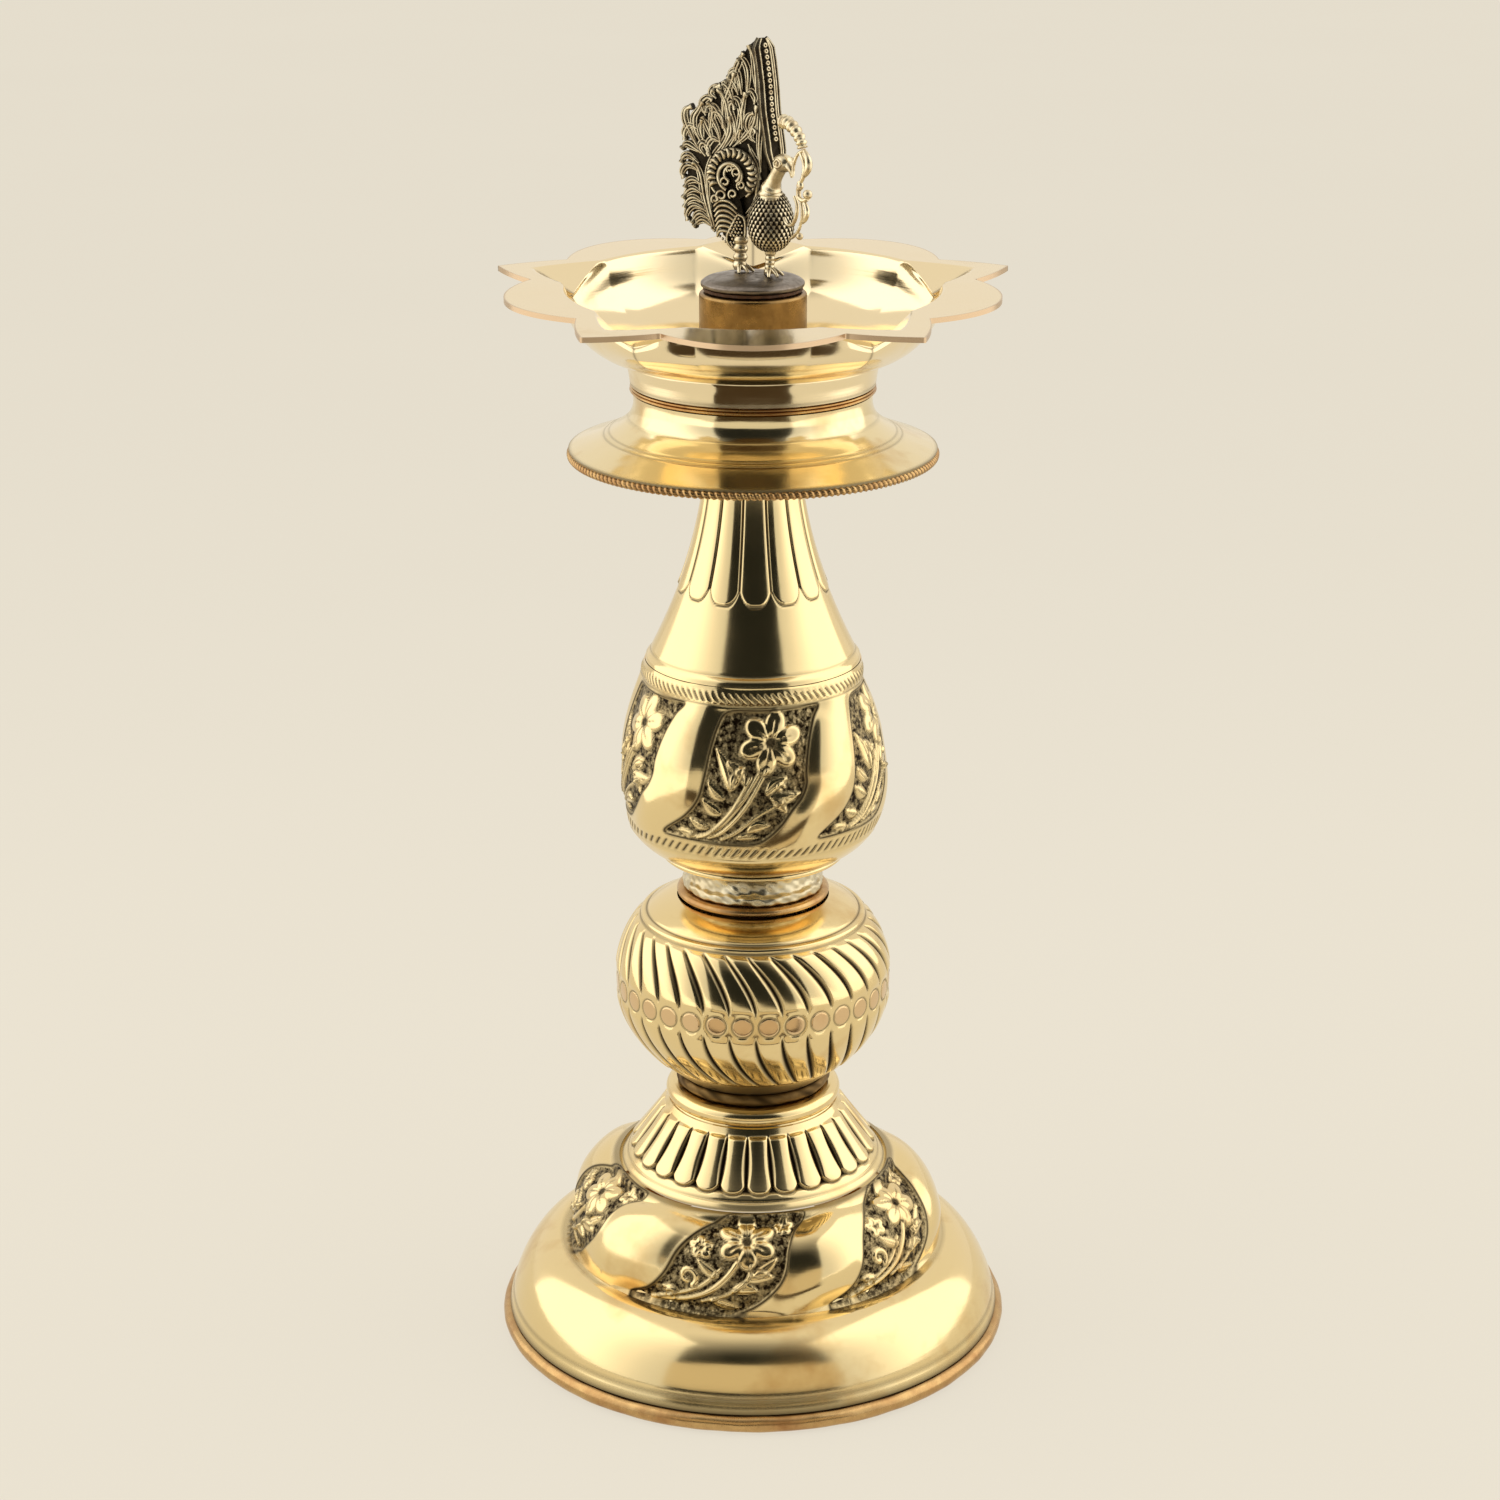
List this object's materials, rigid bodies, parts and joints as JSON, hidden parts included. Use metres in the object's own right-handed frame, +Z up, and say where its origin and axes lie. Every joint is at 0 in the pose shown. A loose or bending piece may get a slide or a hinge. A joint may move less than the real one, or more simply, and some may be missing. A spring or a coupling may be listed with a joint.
{
  "type": "standing oil lamp",
  "caption": "Turned brass standing oil lamp: domed base, knop, pear-shaped shaft, drip skirt, star-rimmed oil bowl and a peacock finial, in sections that unscrew.",
  "frame": {"origin": "centre of the face that the lamp stands on", "axes": "+Z up along the lamp's axis, -Y is the front"},
  "size_m": [0.137, 0.137, 0.344],
  "materials": {
    "polished_brass": "polished",
    "pale_brass": "rough turned",
    "raw_brass": "as cast",
    "threaded_brass": "cut thread",
    "dark_brass": "tarnished",
    "antique_brass": "antique patina, rubbed bright on the high spots",
    "tarnished_brass": "grey tarnish",
    "coppery_brass": "coppery tarnish",
    "washer_leather": "oiled"
  },
  "bodies": {
    "base": {"foot_ring": "coppery_brass", "base_shell": "polished_brass", "base_cone": "polished_brass", "base_collar": "polished_brass", "base_bush": "raw_brass"},
    "neck_ring": {"neck_ring": "dark_brass"},
    "knop": {"knop_hub": "raw_brass", "knop_stud": "threaded_brass", "knop_lower_shell": "polished_brass", "knop_upper_shell": "polished_brass", "knop_cap": "dark_brass", "knop_bush": "raw_brass"},
    "seat_collar": {"seat_collar": "pale_brass"},
    "shaft": {"shaft_foot": "polished_brass", "shaft_stud": "threaded_brass", "shaft_belly": "polished_brass", "shaft_neck": "polished_brass", "shaft_bush": "raw_brass"},
    "bowl_washer": {"bowl_washer": "washer_leather"},
    "bowl": {"bowl_hub": "raw_brass", "bowl_stud": "threaded_brass", "drip_skirt": "polished_brass", "skirt_bead": "polished_brass", "seam_ring": "polished_brass", "oil_bowl": "polished_brass", "bowl_boss": "polished_brass"},
    "finial_washer": {"finial_washer": "washer_leather"},
    "finial": {"finial_stud": "threaded_brass", "finial_disc": "tarnished_brass", "peacock_body": "antique_brass", "peacock_leg_left": "antique_brass", "peacock_leg_right": "antique_brass", "peacock_wing_left": "antique_brass", "peacock_wing_right": "antique_brass", "tail_fan_left": "antique_brass", "tail_fan_right": "antique_brass", "tail_spine": "antique_brass", "peacock_crest": "antique_brass", "beak_vine": "antique_brass"}
  },
  "joints": [
    {"name": "knop_turn", "type": "hinge", "parent": "base", "child": "neck_ring", "pos_m": [0, 0, 0.0696], "axis": [0, 0, 1], "range_deg": [0, 1440]},
    {"name": "knop_rise", "type": "slide", "parent": "neck_ring", "child": "knop", "axis": [0, 0, 1], "range_m": [0, 0.008]},
    {"name": "shaft_turn", "type": "hinge", "parent": "knop", "child": "seat_collar", "pos_m": [0, 0, 0.1254], "axis": [0, 0, 1], "range_deg": [0, 1440]},
    {"name": "shaft_rise", "type": "slide", "parent": "seat_collar", "child": "shaft", "axis": [0, 0, 1], "range_m": [0, 0.008]},
    {"name": "bowl_turn", "type": "hinge", "parent": "shaft", "child": "bowl_washer", "pos_m": [0, 0, 0.2484], "axis": [0, 0, 1], "range_deg": [0, 1440]},
    {"name": "bowl_rise", "type": "slide", "parent": "bowl_washer", "child": "bowl", "axis": [0, 0, 1], "range_m": [0, 0.008]},
    {"name": "finial_turn", "type": "hinge", "parent": "bowl", "child": "finial_washer", "pos_m": [0, 0, 0.2823], "axis": [0, 0, 1], "range_deg": [0, 1440]},
    {"name": "finial_rise", "type": "slide", "parent": "finial_washer", "child": "finial", "axis": [0, 0, 1], "range_m": [0, 0.008]}
  ],
  "couplings": [
    {"joint": "knop_rise", "follows": "knop_turn", "m_per_rad": 0.0003183},
    {"joint": "shaft_rise", "follows": "shaft_turn", "m_per_rad": 0.0003183},
    {"joint": "bowl_rise", "follows": "bowl_turn", "m_per_rad": 0.0003183},
    {"joint": "finial_rise", "follows": "finial_turn", "m_per_rad": 0.0003183}
  ]
}
